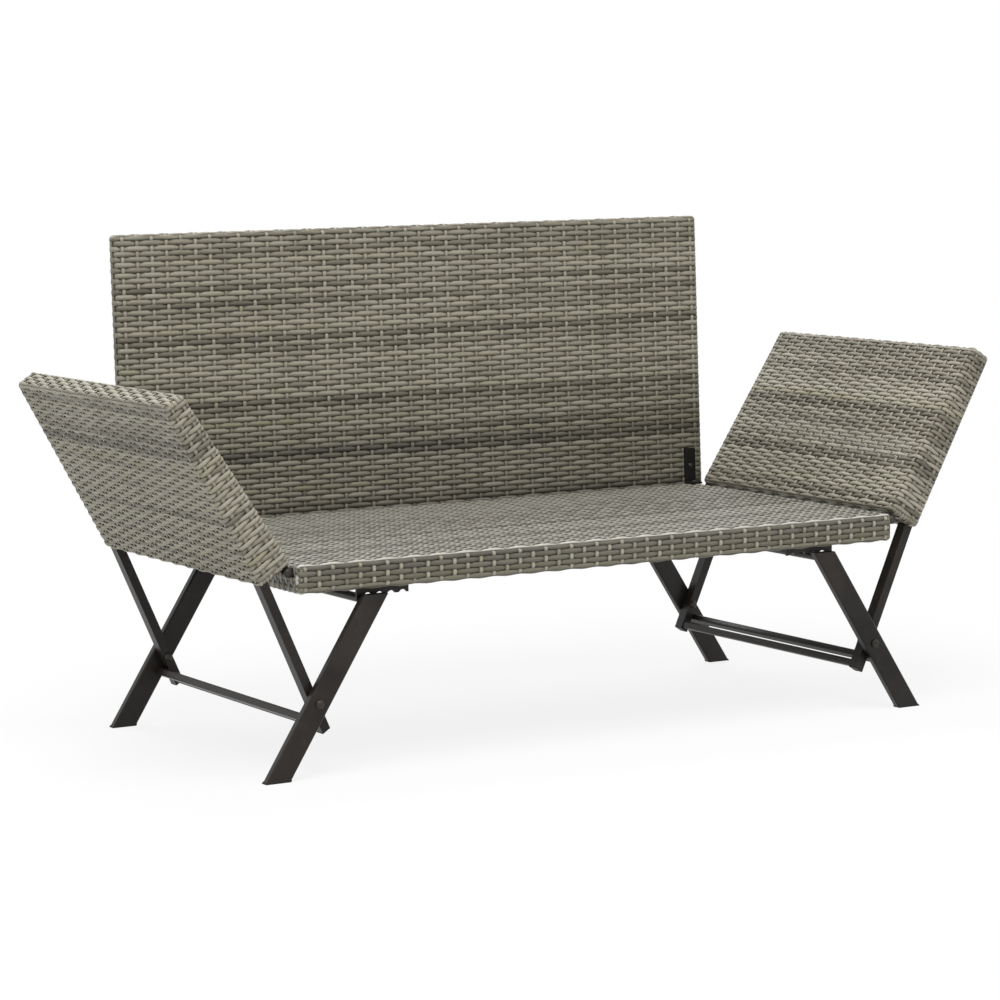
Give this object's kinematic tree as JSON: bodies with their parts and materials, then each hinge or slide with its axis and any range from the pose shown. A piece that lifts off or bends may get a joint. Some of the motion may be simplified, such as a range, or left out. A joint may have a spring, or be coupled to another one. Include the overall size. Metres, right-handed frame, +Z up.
{
  "type": "folding wing bench",
  "caption": "Woven patio bench with a fixed back panel and tilting side wings on folding crossed legs.",
  "frame": {"origin": "on the floor under the middle of the whole bench's box", "axes": "+X along the seat to the right end seen from the front, +Y from the front edge to the back panel, +Z up"},
  "size_m": [1.497, 0.6232, 0.7948],
  "materials": {
    "wicker": "woven flat strands in mixed grey and olive grey, satin",
    "steel": "black-brown powder coat, semi-gloss",
    "fastener": "zinc plated",
    "plastic": "black moulded"
  },
  "bodies": {
    "seat": {"back_bracket_left": "steel", "back_bracket_right": "steel", "back_bracket_screws": "fastener", "back_frame": "steel", "back_post_left": "steel", "back_post_middle": "steel", "back_post_right": "steel", "back_post_screws": "fastener", "back_weave": "wicker", "hinge_bolts": "fastener", "hinge_bracket_front_left": "steel", "hinge_bracket_front_right": "steel", "hinge_bracket_rear_left": "steel", "hinge_bracket_rear_right": "steel", "notched_rack_front_left": "steel", "notched_rack_front_right": "steel", "notched_rack_rear_left": "steel", "notched_rack_rear_right": "steel", "rack_screws": "fastener", "seat_frame": "steel", "seat_weave": "wicker"},
    "wing_left": {"pivot_bolts_left": "fastener", "strut_brace_left": "steel", "strut_caps_left": "plastic", "wing_frame_left": "steel", "wing_rail_front_left": "steel", "wing_rail_rear_left": "steel", "wing_weave_left": "wicker"},
    "wing_right": {"pivot_bolts_right": "fastener", "strut_brace_right": "steel", "strut_caps_right": "plastic", "wing_frame_right": "steel", "wing_rail_front_right": "steel", "wing_rail_rear_right": "steel", "wing_weave_right": "wicker"},
    "legs_left": {"foot_plug_front_left": "plastic", "foot_plug_rear_left": "plastic", "leg_brace_left": "steel", "leg_front_left": "steel", "leg_rear_left": "steel", "leg_rod_left": "steel", "pivot_washers_left": "plastic"},
    "legs_right": {"foot_plug_front_right": "plastic", "foot_plug_rear_right": "plastic", "leg_brace_right": "steel", "leg_front_right": "steel", "leg_rear_right": "steel", "leg_rod_right": "steel", "pivot_washers_right": "plastic"}
  },
  "joints": [
    {"name": "wing_left_fold", "type": "hinge", "parent": "seat", "child": "wing_left", "pos_m": [-0.5535, 0, 0.3115], "axis": [0, -1, 0], "range_deg": [0, 56.7]},
    {"name": "wing_right_fold", "type": "hinge", "parent": "seat", "child": "wing_right", "pos_m": [0.5535, 0, 0.3115], "axis": [0, 1, 0], "range_deg": [0, 56.7]},
    {"name": "legs_left_fold", "type": "hinge", "parent": "wing_left", "child": "legs_left", "pos_m": [-0.51104, 0, 0.11207], "axis": [0, 1, 0], "range_deg": [0, 107.2]},
    {"name": "legs_right_fold", "type": "hinge", "parent": "wing_right", "child": "legs_right", "pos_m": [0.51104, 0, 0.11207], "axis": [0, -1, 0], "range_deg": [0, 107.2]}
  ],
  "couplings": [
    {"joint": "legs_left_fold", "follows": "wing_left_fold", "ratio": 1.89},
    {"joint": "legs_right_fold", "follows": "wing_right_fold", "ratio": 1.89}
  ]
}
